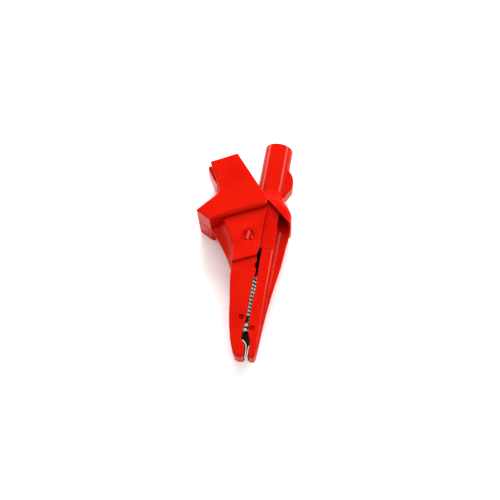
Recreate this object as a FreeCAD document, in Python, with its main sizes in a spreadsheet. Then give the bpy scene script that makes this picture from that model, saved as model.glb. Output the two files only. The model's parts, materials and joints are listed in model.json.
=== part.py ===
# Fully insulated alligator clip with a socket tube for a 4 mm shrouded plug.
# Frame: Y runs along the socket tube, +Y out of its mouth and -Y to the jaw tips.
# Z is the clip's thickness, the mid-plane is Z = 0, and the lever is on the -X side.
# The origin is the centre of the metal sleeve's mouth.
# Every piece is drawn about the pivot (U across, V towards the mouth) and then placed.
import FreeCAD
import Part
import Sketcher
import math
import os
import re

Vector = FreeCAD.Vector
doc = FreeCAD.newDocument("alligator_clip")
sheet = doc.addObject("Spreadsheet::Sheet", "dims")

SIZES = [
    # socket tube
    ("tube_radius", 5.8),
    ("tube_side", 5.0),
    ("mouth_height", 44.5),
    ("shroud_bore", 4.3),
    ("shroud_depth", 22.0),
    ("floor_depth", 5.0),
    ("sleeve_recess", 1.5),
    ("sleeve_radius", 3.1),
    ("socket_bore", 2.0),
    ("socket_depth", 21.0),
    ("lug_reach", 2.7),
    ("lug_half", 3.0),
    # jaws, measured from the pivot
    ("jaw_length", 48.7),
    ("jaw_gap", 1.6),
    ("bar_width", 4.3),
    ("bar_root_half", 6.2),
    ("bar_tip_half", 3.6),
    ("cover_root_half", 7.0),
    ("cover_tip_half", 3.8),
    ("shell_wall", 1.3),
    ("fin_half", 0.8),
    ("fin_reach", 4.9),
    # lever
    ("lever_half", 10.25),
    ("lever_reach", 34.8),
    ("cheek_wall", 1.9),
    ("spine_wall", 1.6),
    ("rib_half", 6.3),
    ("rib_height", 1.2),
    # ears and skirt
    ("ear_half", 8.0),
    ("ear_wall", 1.5),
    ("swing_radius", 15.3),
    ("swing_gap", 0.5),
    ("skirt_half", 8.0),
    ("skirt_wall", 1.4),
    # pivot
    ("pin_radius", 1.5),
    ("running_gap", 0.05),
    ("cap_radius", 3.0),
    ("cap_height", 0.5),
    ("cap_sink", 0.4),
    ("cap_gap", 0.1),
    ("hub_radius", 5.2),
    ("bush_wall", 0.55),
    # contact metal
    ("metal_sheet", 0.8),
    ("seat_gap", 0.1),
    ("metal_ear", 4.2),
    ("tooth_pitch", 1.5),
    ("tooth_height", 0.8),
    ("tooth_gap", 0.12),
    ("tail_half", 1.8),
    ("tab_half", 3.0),
    ("tab_face", 2.2),
    ("tab_thick", 1.5),
    ("tab_length", 7.0),
    ("rivet_radius", 1.0),
    ("rivet_head", 1.6),
    ("head_height", 0.7),
    # jaw pins
    ("jaw_pin_radius", 0.85),
    ("jaw_pin_sink", 0.45),
    ("bar_pin_share", 0.757),
    ("cover_pin_share", 0.684),
    # spring
    ("wire_radius", 0.45),
    ("coil_radius", 2.85),
    ("coil_turns", 4.0),
    ("coil_pitch", 1.0),
    ("fixed_leg", 13.5),
    ("lever_leg", 14.5),
    ("lever_leg_angle", 128.0),
    ("leg_gap", 0.05),
]

for row, (alias, value) in enumerate(SIZES, 1):
    sheet.set(f"A{row}", alias)
    sheet.set(f"B{row}", str(value))
    sheet.setAlias(f"B{row}", alias)
doc.recompute()


def formula(words):
    """Adds the sheet's name before each size named in a formula."""
    return re.sub(r"\b([a-z]+_[a-z_]+)\b", r"dims.\1", str(words))


def size(alias):
    """The value of one named size."""
    return float(sheet.get(alias))


def worth(words):
    """The present value of a formula."""
    return float(sheet.evalExpression(formula(words)))


def bind(thing, prop, words):
    """Ties one property to a formula."""
    thing.setExpression(prop, formula(words))


PLANES = {
    "XY": (FreeCAD.Rotation(), Vector(0, 0, 1)),
    "YZ": (FreeCAD.Rotation(Vector(1, 1, 1), 120), Vector(1, 0, 0)),
}


def outline(name, points, plane="XY"):
    """A closed sketch of straight lines, each corner held by two formulas."""
    sketch = doc.addObject("Sketcher::SketchObject", name)
    sketch.Placement = FreeCAD.Placement(Vector(), PLANES[plane][0])
    draw(sketch, points)
    return sketch


def draw(sketch, points):
    """Joins the points with straight lines and holds each one by its two formulas."""
    corners = [Vector(worth(a), worth(b), 0) for a, b in points]
    count = len(corners)
    for i in range(count):
        sketch.addGeometry(Part.LineSegment(corners[i], corners[(i + 1) % count]), False)
    for i in range(count):
        sketch.addConstraint(Sketcher.Constraint("Coincident", i, 2, (i + 1) % count, 1))
    for i, pair in enumerate(points):
        hold(sketch, i, "DistanceX", pair[0], corners[i].x)
        hold(sketch, i, "DistanceY", pair[1], corners[i].y)


def hold(sketch, line, kind, words, value):
    """Holds the start of one line at a formula's distance from the sketch's origin."""
    number = sketch.addConstraint(Sketcher.Constraint(kind, -1, 1, line, 1, value))
    label = f"corner_{line}_{kind[-1]}"
    sketch.renameConstraint(number, label)
    bind(sketch, "Constraints." + label, words)


def prism(name, points, low, high, plane="XY"):
    """An outline drawn out along its normal from one level to another."""
    solid = doc.addObject("Part::Extrusion", name)
    solid.Base = outline(name + "_outline", points, plane)
    solid.DirMode = "Custom"
    solid.Dir = PLANES[plane][1]
    solid.Solid = True
    bind(solid, "LengthFwd", high)
    bind(solid, "LengthRev", f"-({low})")
    return solid


def rod(name, radius, low, high, axis="Z", at=("0", "0", "0")):
    """A round bar along one axis through a point, between two levels on that axis."""
    turns = {"X": (Vector(0, 1, 0), 90), "Y": (Vector(1, 0, 0), -90), "Z": (Vector(0, 0, 1), 0)}
    solid = doc.addObject("Part::Cylinder", name)
    solid.Placement = FreeCAD.Placement(Vector(), FreeCAD.Rotation(*turns[axis]))
    bind(solid, "Radius", radius)
    bind(solid, "Height", f"({high}) - ({low})")
    for letter, words in zip("XYZ", at):
        start = low if letter == axis else words
        bind(solid, "Placement.Base." + letter.lower(), start)
    return solid


def fuse(name, pieces):
    joined = doc.addObject("Part::MultiFuse", name)
    joined.Shapes = pieces
    joined.Refine = True
    return joined


def common(name, pieces):
    shared = doc.addObject("Part::MultiCommon", name)
    shared.Shapes = pieces
    return shared


def cut(name, base, tools):
    tool = tools[0] if len(tools) == 1 else fuse(name + "_tools", tools)
    less = doc.addObject("Part::Cut", name)
    less.Base = base
    less.Tool = tool
    less.Refine = True
    return less


NODES = {}


def node(name, solid, placed=False):
    """Names a finished piece and moves it from the pivot to the clip's frame."""
    solid.Label = name
    if not placed:
        bind(solid, "Placement.Base.x", "-tube_side")
        bind(solid, "Placement.Base.y", "sleeve_recess - mouth_height")
    NODES[name] = solid


def slab(name, levels):
    """A wedge across the clip: half thickness at each V, the same above and below."""
    above = [(v, half) for v, half in levels]
    below = [(v, f"-({half})") for v, half in reversed(levels)]
    return prism(name, above + below, "-60", "60", "YZ")


# Levels through the thickness, from the ears inwards.
EAR_IN = "(ear_half - ear_wall)"
PLATE_OUT = "bar_root_half"
PLATE_IN = "(bar_root_half - shell_wall)"
FIXED_EAR_OUT = "(bar_root_half - shell_wall - seat_gap)"
FIXED_EAR_IN = "(bar_root_half - shell_wall - seat_gap - metal_sheet)"
MOVING_EAR_OUT = "(bar_root_half - shell_wall - 2.5 * seat_gap - metal_sheet)"
MOVING_EAR_IN = "(bar_root_half - shell_wall - 2.5 * seat_gap - 2 * metal_sheet)"
PIN_END = "(ear_half - cap_sink - cap_height)"

# Lines along the jaws.
BAR_EDGE = "(tube_side + 1.2)"
BAR_BACK = "(tube_side + 1.2 + bar_width)"
COVER_EDGE = "(tube_side + 1.2 - jaw_gap)"
TAPER_START = "(-hub_radius - 1)"
TUBE_FLOOR = "(mouth_height - shroud_depth)"
TUBE_END = "(mouth_height - shroud_depth - floor_depth)"
PIN_HOLE = "(pin_radius + running_gap)"
BAR_PIN = ("(tube_side + 2.5)", "(-jaw_length * bar_pin_share)")
COVER_PIN = ("(tube_side - 2.3)", "(-jaw_length * cover_pin_share)")
RIVET_V = "(mouth_height - shroud_depth - floor_depth - tab_length / 2)"


def along(share):
    """A place along the jaws, as a share of their length from the pivot."""
    return f"(-jaw_length * {share})"


def taper(root, tip, share):
    """The half thickness of a tapered jaw at a share of its length."""
    return f"({root} - ({root} - {tip}) * {share})"


# ---- socket housing: tube, floor, flared skirt, pivot plates and the fixed jaw's bar ----

def skirt():
    """The bell below the tube. Its lower edge keeps outside the circle that the ears swing in."""
    left = "(tube_side - tube_radius)"
    right = "(swing_radius + swing_gap - 0.3)"
    outer = prism("skirt_block", [
        (left, "swing_radius + 6"), ("tube_side + tube_radius", "swing_radius + 6"),
        (f"{right} - 0.2", "swing_radius - 3.6"), (right, "swing_radius * 0.53"),
        (left, "swing_radius * 0.53"),
    ], "-skirt_half", "skirt_half")
    slope = slab("skirt_slope", [
        ("swing_radius + 6.5", "tube_radius * 0.75"), ("swing_radius + 1.2", "skirt_half"),
        ("0", "skirt_half"),
    ])
    block = common("skirt_outside", [outer, slope])
    hollow = prism("skirt_hollow", [
        (f"{left} - 5", TUBE_END), ("tube_side + tube_radius - skirt_wall", TUBE_END),
        (f"{right} - 0.2 - skirt_wall", "swing_radius - 4.1"),
        (f"{right} - skirt_wall", "0"), (f"{left} - 5", "0"),
    ], "-(skirt_half - skirt_wall)", "skirt_half - skirt_wall")
    swing = rod("skirt_swing", "swing_radius + swing_gap", "-skirt_half - 1", "skirt_half + 1")
    rim_u = "((swing_radius + swing_gap) * 0.676)"
    rim_v = "((swing_radius + swing_gap) * 0.737)"
    rim = prism("skirt_rim", [
        (f"{rim_u} - 5.6", f"{rim_v} + 5.14"), (f"{rim_u} + 3.9", f"{rim_v} - 3.58"),
        (f"{rim_u} + 3.9", "0"), ("0", "0"), ("0", "swing_radius"),
    ], "-skirt_half - 1", "skirt_half + 1")
    return cut("skirt", block, [hollow, swing, rim])


def bar():
    """The fixed jaw's insulating bar, tapered towards the tip, with its mid-plane fin."""
    side = prism("bar_side", [
        (BAR_EDGE, "4"), (BAR_BACK, "4"), (BAR_BACK, along(0.96)),
        (f"{BAR_BACK} - 0.4", along(0.988)), (f"{BAR_BACK} - 1.2", along(1)),
        (f"{BAR_EDGE} + 2.3", along(1)), (f"{BAR_EDGE} + 1.8", along(0.985)),
        (f"{BAR_EDGE} + 1.7", along(0.9)), (f"{BAR_EDGE} + 1.3", along(0.86)),
        (BAR_EDGE, along(0.79)), (f"{BAR_EDGE} - 0.3", along(0.7)),
        (f"{BAR_EDGE} - 0.3", along(0.52)), (BAR_EDGE, along(0.44)),
    ], "-bar_root_half", "bar_root_half")
    wedge = slab("bar_wedge", [
        ("5", PLATE_OUT), (TAPER_START, PLATE_OUT), (along(1), "bar_tip_half"),
        (along(1.02), "bar_tip_half - 0.4"),
    ])
    fin = prism("bar_fin", [
        (f"{BAR_BACK} - 1", "swing_radius - 3.3"), (f"{BAR_BACK} + 4.2", "swing_radius - 3.3"),
        (f"{BAR_BACK} + fin_reach", "swing_radius * 0.53"), (f"{BAR_BACK} + fin_reach", "5.7"),
        (f"{BAR_BACK} + fin_reach * 0.87", along(0.015)),
        (f"{BAR_BACK} + fin_reach * 0.76", along(0.18)),
        (f"{BAR_BACK} + fin_reach * 0.56", along(0.316)),
        (f"{BAR_BACK} + fin_reach * 0.33", along(0.496)),
        (f"{BAR_BACK} + fin_reach * 0.175", along(0.671)),
        (f"{BAR_BACK} + 0.42", along(0.858)), (f"{BAR_BACK} + 0.1", along(0.955)),
        (f"{BAR_BACK} - 1", along(0.955)),
    ], "-fin_half", "fin_half")
    return [common("bar_body", [side, wedge]), fin]


def neck():
    """Two plates inside the skirt, from the tube's end to the pivot and the bar."""
    plates = prism("neck_plates", [
        ("tube_side - tube_radius", f"{TUBE_END} + 2"), (f"{BAR_BACK} - 0.2", f"{TUBE_END} + 2"),
        (BAR_BACK, "-4"), (BAR_EDGE, "-4"), ("hub_radius * 0.6", "-hub_radius * 0.8"),
        ("-hub_radius * 0.8", "hub_radius * 0.6"),
    ], f"-{PLATE_OUT}", PLATE_OUT)
    hub = rod("neck_hub", "hub_radius", f"-{PLATE_OUT}", PLATE_OUT)
    return [plates, hub]


def housing_hollow():
    """The channel that holds the contact metal, from the tube's floor to the bar's tip."""
    room = prism("channel_room", [
        ("-hub_radius - 4", TUBE_END), (f"{BAR_BACK} - shell_wall", TUBE_END),
        (f"{BAR_BACK} - shell_wall", along(0.988)), ("-hub_radius - 4", along(0.988)),
    ], "-bar_root_half", "bar_root_half")
    wedge = slab("channel_wedge", [
        (f"{TUBE_END} + 1", PLATE_IN), (TAPER_START, PLATE_IN),
        (along(1), "bar_tip_half - shell_wall"),
    ])
    return common("channel", [room, wedge])


def socket_housing():
    tube = rod("tube", "tube_radius", TUBE_END, "mouth_height", "Y", ("tube_side", "0", "0"))
    lug = prism("finger_lug", [
        ("tube_side + tube_radius - 1", "mouth_height - 9.6"),
        ("tube_side + tube_radius + lug_reach * 0.6", "mouth_height - 12"),
        ("tube_side + tube_radius + lug_reach * 0.9", "mouth_height - 14.1"),
        ("tube_side + tube_radius + lug_reach", "mouth_height - 17.8"),
        ("tube_side + tube_radius + lug_reach * 0.35", "mouth_height - 20.7"),
        ("tube_side + tube_radius - 1", "mouth_height - 23.6"),
    ], "-lug_half", "lug_half")
    solid = fuse("housing_solid", [tube, lug, skirt(), *neck(), *bar()])
    axis = ("tube_side", "0", "0")
    shroud = rod("shroud_room", "shroud_bore", TUBE_FLOOR, "mouth_height + 1", "Y", axis)
    seat = rod("sleeve_seat", "sleeve_radius", f"{TUBE_END} - 1", "mouth_height", "Y", axis)
    pivot = rod("housing_pivot", PIN_HOLE, "-20", "20")
    peg = rod("housing_peg", "jaw_pin_radius", "-20", "20", "Z", (*BAR_PIN, "0"))
    node("socket_housing", cut("housing", solid, [housing_hollow(), shroud, seat, pivot, peg]))


# ---- lever shells: cheek, ear, spine and the moving jaw's cover, split at the mid-plane ----

THUMB = [
    ("-20.9", "lever_reach - 5.5"), ("-19.7", "26.8"), ("-18.4", "24.2"), ("-17.0", "21.7"),
    ("-15.8", "19.4"), ("-15.1", "17.3"), ("-15.6", "15.1"), ("-22.45", "6.7"), ("-16.4", "3.35"),
]
THUMB_INSIDE = [
    ("-11.7", "9.25"), ("-13.7", "15.0"), ("-15.1 + spine_wall * 0.95", "17.6"),
    ("-15.8 + spine_wall * 0.9", "20.1"), ("-17.0 + spine_wall * 0.9", "22.4"),
    ("-18.4 + spine_wall * 0.9", "24.9"), ("-20.9 + spine_wall * 0.9", "lever_reach - 4.75"),
]
CHEEK = [
    *THUMB, ("4.9", "13.7"), ("4.8", "swing_radius + 1.1"), ("-0.7", "22.8"),
    ("-10.7", "lever_reach"),
]
EAR = [
    ("-10.9", "5"), ("-8.1", "0.5"), ("-5.6", "-4.4"), ("-4.7", "-12.1"), ("4.4", "-7.9"),
    ("4.95", "-5"), ("4.95", "13.6"), ("-10.0", "9.0"),
]


def lever_upper_part():
    """The cheek, with its thicker root inside the swing circle, and the ear on the pivot."""
    cheek = prism("cheek", CHEEK, "lever_half - cheek_wall", "lever_half")
    root_block = prism("cheek_root_block", CHEEK, EAR_IN, "lever_half - cheek_wall / 2")
    swing = rod("cheek_swing", "swing_radius", "0", "lever_half")
    root = common("cheek_root", [root_block, swing])
    ear = prism("ear", EAR, EAR_IN, "ear_half")
    return [cheek, root, ear]


def spine():
    """The wall along the back: thumb surface, thumb stop, flare and rib."""
    wall = prism("spine", [
        *THUMB, ("-10.9", "4.9"), ("-8.1", "0.5"), ("-5.6", "-4.4"), ("-4.7", "-12.1"),
        ("-4.7 + shell_wall", "-12.1"), ("-5.5 + shell_wall", "-4.2"), ("-7.9 + shell_wall", "0.9"),
        ("-9.4", "5.4"), *THUMB_INSIDE,
    ], "0", "ear_half")
    top = prism("spine_top", [*THUMB, ("-9.4", "6.75"), *THUMB_INSIDE],
                "ear_half - 1", "lever_half - cheek_wall / 2")
    flare = prism("flare", [
        ("-17.0", "4.2"), ("-13.3", "-0.3"), ("-10.1", "-4.5"), ("-7.1", "-9.4"),
        ("-5.4", "-14"), ("-3.8", "-14"), ("-5", "-4.4"), ("-8", "5"),
    ], "0", "fin_half * 1.5")
    rib = prism("rib", [
        ("-20.9 - rib_height", "lever_reach - 6.4"), ("-20.3 - rib_height * 0.6", "26.9"),
        ("-19.1 - rib_height * 0.5", "25.2"), ("-18.0 - rib_height * 0.3", "23.3"),
        ("-16.8", "21.4"), ("-16.3", "22.0"), ("-19.4", "28.0"), ("-20.2", "lever_reach - 5.3"),
    ], "0", "rib_half")
    return [wall, top, flare, rib]


COVER_OUTSIDE = [
    ("-4.7", "-8"), ("-4.65", along(0.28)), ("-4.5", along(0.36)), ("-2.95", along(0.56)),
    ("-1.85", along(0.716)), ("0.0", along(0.872)),
]


def inside_cover(wall):
    """The cover's back line moved in by a wall."""
    return [(f"{u} + {wall}", v) for u, v in COVER_OUTSIDE]


def cover():
    """The moving jaw's cover: a tapered channel with its mouth towards the fixed jaw."""
    side = prism("cover_side", [
        *COVER_OUTSIDE, ("1.9", along(0.97)), ("2.9", along(0.995)),
        (f"{COVER_EDGE} + 1.0", along(1)), (f"{COVER_EDGE} + 1.5", along(0.985)),
        (f"{COVER_EDGE} + 1.6", along(0.935)), (f"{COVER_EDGE} + 1.4", along(0.9)),
        (f"{COVER_EDGE} - 0.4", along(0.867)), (f"{COVER_EDGE} - 0.45", along(0.753)),
        (COVER_EDGE, along(0.71)), (COVER_EDGE, along(0.37)), (f"{COVER_EDGE} + 0.5", along(0.33)),
        (f"{COVER_EDGE} + 0.6", along(0.28)), (f"{COVER_EDGE} - 0.3", along(0.243)),
        (f"{COVER_EDGE} + 0.4", along(0.2)), (f"{COVER_EDGE} - 0.2", "-8"),
    ], "0", "cover_root_half")
    wedge = slab("cover_wedge", [
        ("-7", "cover_root_half"), (along(0.2), "cover_root_half"), (along(1), "cover_tip_half"),
    ])
    room = prism("cover_room", [
        ("-4.7 + shell_wall", "-6"), *inside_cover("shell_wall")[1:],
        ("1.5 + shell_wall", along(0.96)), ("1.9 + shell_wall", along(0.988)),
        (f"{COVER_EDGE} + 3", along(0.988)), (f"{COVER_EDGE} + 3", "-6"),
    ], "-1", "cover_root_half")
    hollow = slab("cover_hollow", [
        ("-5", "cover_root_half - shell_wall"), (along(0.2), "cover_root_half - shell_wall"),
        (along(1), "cover_tip_half - shell_wall"),
    ])
    return common("cover_body", [side, wedge]), common("cover_inside", [room, hollow])


def lever_shells():
    body, inside = cover()
    solid = fuse("shell_solid", [*lever_upper_part(), *spine(), body])
    pivot = rod("shell_pivot", "pin_radius", "0", "20")
    recess = rod("cap_recess", "cap_radius + cap_gap", PIN_END, "20")
    peg = rod("shell_peg", "jaw_pin_radius", "0", "20", "Z", (*COVER_PIN, "0"))
    upper = cut("shell", solid, [inside, pivot, recess, peg])
    node("lever_shell_upper", upper)
    lower = doc.addObject("Part::Mirroring", "shell_mirrored")
    lower.Source = upper
    lower.Normal = Vector(0, 0, 1)
    node("lever_shell_lower", lower, placed=True)


# ---- contact metal: two folded channels with toothed edges ----

def comb(edge, tips, first, last, pitch):
    """The toothed edge between two places along the jaw, from the tip end upwards."""
    start = worth(last)
    step = worth(pitch)
    count = int((worth(first) - start) / step)
    points = []
    for i in range(count):
        points.append((edge, f"{last} + {i} * {pitch}"))
        points.append((tips, f"{last} + {i + 0.2} * {pitch}"))
        points.append((tips, f"{last} + {i + 0.65} * {pitch}"))
        points.append((edge, f"{last} + {i + 0.85} * {pitch}"))
    points.append((edge, f"{last} + {count} * {pitch}"))
    return points


def fixed_contact_jaw():
    back = f"({BAR_BACK} - shell_wall - seat_gap)"
    web = f"({back} - metal_sheet)"
    tips = f"({BAR_EDGE} - jaw_gap / 2 + tooth_gap / 2)"
    root = f"({tips} + tooth_height)"
    teeth = comb(root, tips, along(0.31), along(0.66), "tooth_pitch")
    coarse = comb(root, f"({root} - 0.35)", along(0.69), along(0.79), "tooth_pitch * 1.3")
    side = prism("fixed_side", [
        (back, along(0.955)), (f"{back} - 0.6", along(0.985)), (f"{BAR_EDGE} + 1.1", along(0.985)),
        (f"{BAR_EDGE} + 1.05", along(0.9)), (f"{BAR_EDGE} + 0.9", along(0.875)),
        *coarse, *teeth, (root, "-6"), ("metal_ear * 0.6", "-metal_ear * 0.8"),
        ("-metal_ear * 0.4", "metal_ear * 0.916"), (back, "9"),
    ], f"-{FIXED_EAR_OUT}", FIXED_EAR_OUT)
    ear = rod("fixed_ear", "metal_ear", f"-{FIXED_EAR_OUT}", FIXED_EAR_OUT)
    wedge = slab("fixed_wedge", [
        ("20", FIXED_EAR_OUT), (TAPER_START, FIXED_EAR_OUT),
        (along(1), "bar_tip_half - shell_wall - seat_gap"),
    ])
    room = prism("fixed_room", [
        (web, "20"), (web, along(1)), ("-9", along(1)), ("-9", "20"),
    ], "-9", "9")
    inner = slab("fixed_inner", [
        ("20", FIXED_EAR_IN), (TAPER_START, FIXED_EAR_IN),
        (along(1), "bar_tip_half - shell_wall - seat_gap - metal_sheet"),
    ])
    channel = cut("fixed_channel", common("fixed_block", [fuse("fixed_flat", [side, ear]), wedge]),
                  [common("fixed_space", [room, inner])])
    face = "(tube_side + tab_face)"
    tail = prism("fixed_tail", [
        (web, "6"), (back, "6"), (back, "9.4"), (f"{face} + metal_sheet", "11"),
        (f"{face} + metal_sheet", f"{TUBE_END} - 0.3"), (face, f"{TUBE_END} - 0.3"),
        (face, "10.6"), (web, "9"),
    ], "-tail_half", "tail_half")
    solid = fuse("fixed_metal", [channel, tail])
    pivot = rod("fixed_metal_pivot", PIN_HOLE, "-20", "20")
    peg = rod("fixed_metal_peg", "jaw_pin_radius", "-20", "20", "Z", (*BAR_PIN, "0"))
    hole = rod("tail_hole", "rivet_radius", "tube_side", "tube_side + 9", "X", ("0", RIVET_V, "0"))
    node("fixed_contact_jaw", cut("fixed_jaw", solid, [pivot, peg, hole]))


def moving_contact_jaw():
    tips = f"({BAR_EDGE} - jaw_gap / 2 - tooth_gap / 2)"
    root = f"({tips} - tooth_height)"
    teeth = comb(root, tips, along(0.31), along(0.66), "tooth_pitch")
    coarse = comb(f"({root} - 0.5)", f"({tips} + 0.35)", along(0.7), along(0.79),
                  "tooth_pitch * 1.3")
    wall = "(shell_wall + seat_gap)"
    outside = [*inside_cover(wall), (f"1.5 + {wall}", along(0.955))]
    side = prism("moving_side", [
        ("-metal_ear * 0.9", "metal_ear * 0.436"), *outside, (f"1.9 + {wall}", along(0.985)),
        (f"{COVER_EDGE} + 2.2", along(0.985)), (f"{COVER_EDGE} + 2.2", along(0.9)),
        (f"{COVER_EDGE} + 1.6", along(0.878)), (f"{COVER_EDGE} + 0.4", along(0.86)),
        (f"{COVER_EDGE} - 0.6", along(0.852)), (f"{COVER_EDGE} - 0.6", along(0.8)),
        *coarse, *teeth, (root, "-9"), ("metal_ear * 0.9", "-metal_ear * 0.436"),
    ], "-9", "9")
    ear = rod("moving_ear", "metal_ear", "-9", "9")
    half = "(cover_root_half - shell_wall - seat_gap)"
    tip = "(cover_tip_half - shell_wall - seat_gap)"
    wedge = slab("moving_wedge", [
        ("8", MOVING_EAR_OUT), ("-8.2", MOVING_EAR_OUT), ("-11.8", f"{half} - 0.2"),
        (along(1), f"{tip} + 0.02"),
    ])
    room = prism("moving_room", [
        ("-9", "9"), ("-9", "-7"), (f"-4.7 + {wall} + metal_sheet", "-8"),
        *[(f"{u} + metal_sheet", v) for u, v in outside[1:]],
        (f"{COVER_EDGE} + 3", along(0.96)), (f"{COVER_EDGE} + 3", "9"),
    ], "-9", "9")
    inner = slab("moving_inner", [
        ("9", MOVING_EAR_IN), ("-8.6", MOVING_EAR_IN), ("-12.2", f"{half} - 0.2 - metal_sheet"),
        (along(1), f"{tip} - metal_sheet"),
    ])
    channel = cut("moving_channel",
                  common("moving_block", [fuse("moving_flat", [side, ear]), wedge]),
                  [common("moving_space", [room, inner])])
    pivot = rod("moving_metal_pivot", "pin_radius", "-20", "20")
    peg = rod("moving_metal_peg", "jaw_pin_radius", "-20", "20", "Z", (*COVER_PIN, "0"))
    node("moving_contact_jaw", cut("moving_jaw", channel, [pivot, peg]))


# ---- socket sleeve with its tab, and the rivet through the fixed jaw's tail ----

def origin_plane(body, role):
    return next(item for item in body.Origin.OriginFeatures if item.Role == role)


def turned(name, points, axis_role, plane_role):
    """A body turned about one of its own axes from a half outline in one of its planes."""
    body = doc.addObject("PartDesign::Body", name)
    sketch = body.newObject("Sketcher::SketchObject", name + "_half")
    sketch.AttachmentSupport = [(origin_plane(body, plane_role), "")]
    sketch.MapMode = "FlatFace"
    draw(sketch, points)
    spin = body.newObject("PartDesign::Revolution", name + "_turned")
    spin.Profile = sketch
    spin.ReferenceAxis = (origin_plane(body, axis_role), [""])
    spin.Angle = 360
    return body


def socket_sleeve():
    mouth = "(mouth_height - sleeve_recess)"
    body = turned("sleeve_turned", [
        ("socket_bore", mouth), ("sleeve_radius - 0.2", mouth), ("sleeve_radius", f"{mouth} - 0.4"),
        ("sleeve_radius", TUBE_END), ("0", TUBE_END), ("0", f"{mouth} - socket_depth"),
        ("socket_bore", f"{mouth} - socket_depth"),
    ], "Y_Axis", "XY_Plane")
    bind(body, "Placement.Base.x", "tube_side")
    tab = prism("sleeve_tab", [
        ("tube_side + tab_face - tab_thick", TUBE_END), ("tube_side + tab_face", TUBE_END),
        ("tube_side + tab_face", f"{TUBE_END} - tab_length"),
        ("tube_side + tab_face - tab_thick", f"{TUBE_END} - tab_length"),
    ], "-tab_half", "tab_half")
    hole = rod("tab_hole", "rivet_radius", "tube_side - 2", "tube_side + 9", "X",
               ("0", RIVET_V, "0"))
    node("socket_sleeve", cut("sleeve", fuse("sleeve_solid", [body, tab]), [hole]))


def contact_rivet():
    face = "(tube_side + tab_face)"
    axis = ("0", RIVET_V, "0")
    shank = rod("rivet_shank", "rivet_radius", f"{face} - tab_thick - 0.3",
                f"{face} + metal_sheet + 0.3", "X", axis)
    near = rod("rivet_near", "rivet_head", f"{face} + metal_sheet",
               f"{face} + metal_sheet + head_height", "X", axis)
    far = rod("rivet_far", "rivet_head", f"{face} - tab_thick - head_height",
              f"{face} - tab_thick", "X", axis)
    node("contact_rivet", fuse("rivet", [shank, near, far]))


# ---- pivot pin, bush, caps and the two jaw pins ----

def pivot_parts():
    pin = turned("pin", [
        ("0", f"-{PIN_END}"), ("pin_radius - 0.3", f"-{PIN_END}"),
        ("pin_radius", f"0.3 - {PIN_END}"), ("pin_radius", f"{PIN_END} - 0.3"),
        ("pin_radius - 0.3", PIN_END), ("0", PIN_END),
    ], "Z_Axis", "XZ_Plane")
    node("pivot_pin", pin)
    bush = turned("bush", [
        (PIN_HOLE, f"0.05 - {MOVING_EAR_IN}"),
        (f"{PIN_HOLE} + bush_wall", f"0.05 - {MOVING_EAR_IN}"),
        (f"{PIN_HOLE} + bush_wall", f"{MOVING_EAR_IN} - 0.05"),
        (PIN_HOLE, f"{MOVING_EAR_IN} - 0.05"),
    ], "Z_Axis", "XZ_Plane")
    node("spacer_bush", bush)
    cap = turned("cap", [
        ("0", PIN_END), ("cap_radius", PIN_END),
        ("cap_radius", f"{PIN_END} + cap_height - 0.15"),
        ("cap_radius - 0.15", f"{PIN_END} + cap_height"), ("0", f"{PIN_END} + cap_height"),
    ], "Z_Axis", "XZ_Plane")
    node("pivot_cap_upper", cap)
    lower = doc.addObject("Part::Mirroring", "cap_mirrored")
    lower.Source = cap
    lower.Normal = Vector(0, 0, 1)
    node("pivot_cap_lower", lower, placed=True)


def jaw_pins():
    reach = "((jaw_length * bar_pin_share - hub_radius - 1) / (jaw_length - hub_radius - 1))"
    bar_half = taper("bar_root_half", "bar_tip_half", reach)
    node("fixed_jaw_pin", rod("bar_pin", "jaw_pin_radius", f"jaw_pin_sink - {bar_half}",
                              f"{bar_half} - jaw_pin_sink", "Z", (*BAR_PIN, "0")), placed=True)
    cover_half = taper("cover_root_half", "cover_tip_half", "((cover_pin_share - 0.2) / 0.8)")
    node("moving_jaw_pin", rod("cover_pin", "jaw_pin_radius", f"jaw_pin_sink - {cover_half}",
                               f"{cover_half} - jaw_pin_sink", "Z", (*COVER_PIN, "0")), placed=True)
    for name, (across, up) in (("fixed_jaw_pin", BAR_PIN), ("moving_jaw_pin", COVER_PIN)):
        bind(NODES[name], "Placement.Base.x", f"{across} - tube_side")
        bind(NODES[name], "Placement.Base.y", f"{up} + sleeve_recess - mouth_height")


# ---- torsion spring: a coil round the bush with a leg to each side ----

def torsion_spring():
    """One wire: a leg from the sleeve's tab, the coil, and a leg to the lever's spine."""
    radius = size("coil_radius")
    wire = size("wire_radius")
    fixed_leg = size("fixed_leg")
    side = worth("tube_side + tab_face - tab_thick - wire_radius - leg_gap")
    lean = math.asin(side / math.hypot(radius, fixed_leg)) - math.atan2(radius, fixed_leg)
    last = math.radians(size("lever_leg_angle")) - 1.5 * math.pi
    part_turn = -(lean + last) / (2 * math.pi)
    room = worth(f"2 * ({MOVING_EAR_IN} - wire_radius - leg_gap) / coil_pitch")
    turns = min(size("coil_turns"), math.floor(room - part_turn)) + part_turn
    height = turns * size("coil_pitch")
    helix = Part.makeHelix(size("coil_pitch"), height, radius, 0, True)
    helix.translate(Vector(0, 0, -height / 2))
    helix.rotate(Vector(), Vector(0, 0, 1), math.degrees(-lean))
    coil = helix.Edges[0]
    start = coil.valueAt(coil.FirstParameter)
    inward = coil.tangentAt(coil.FirstParameter)
    end = coil.valueAt(coil.LastParameter)
    outward = coil.tangentAt(coil.LastParameter)
    foot = start - inward * fixed_leg
    path = Part.Wire([
        Part.makeLine(foot, start), coil, Part.makeLine(end, end + outward * size("lever_leg")),
    ])
    section = Part.Wire(Part.makeCircle(wire, foot, inward))
    spring = doc.addObject("Part::Feature", "spring")
    spring.Shape = path.makePipeShell([section], True, True)
    node("torsion_spring", spring)


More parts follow.
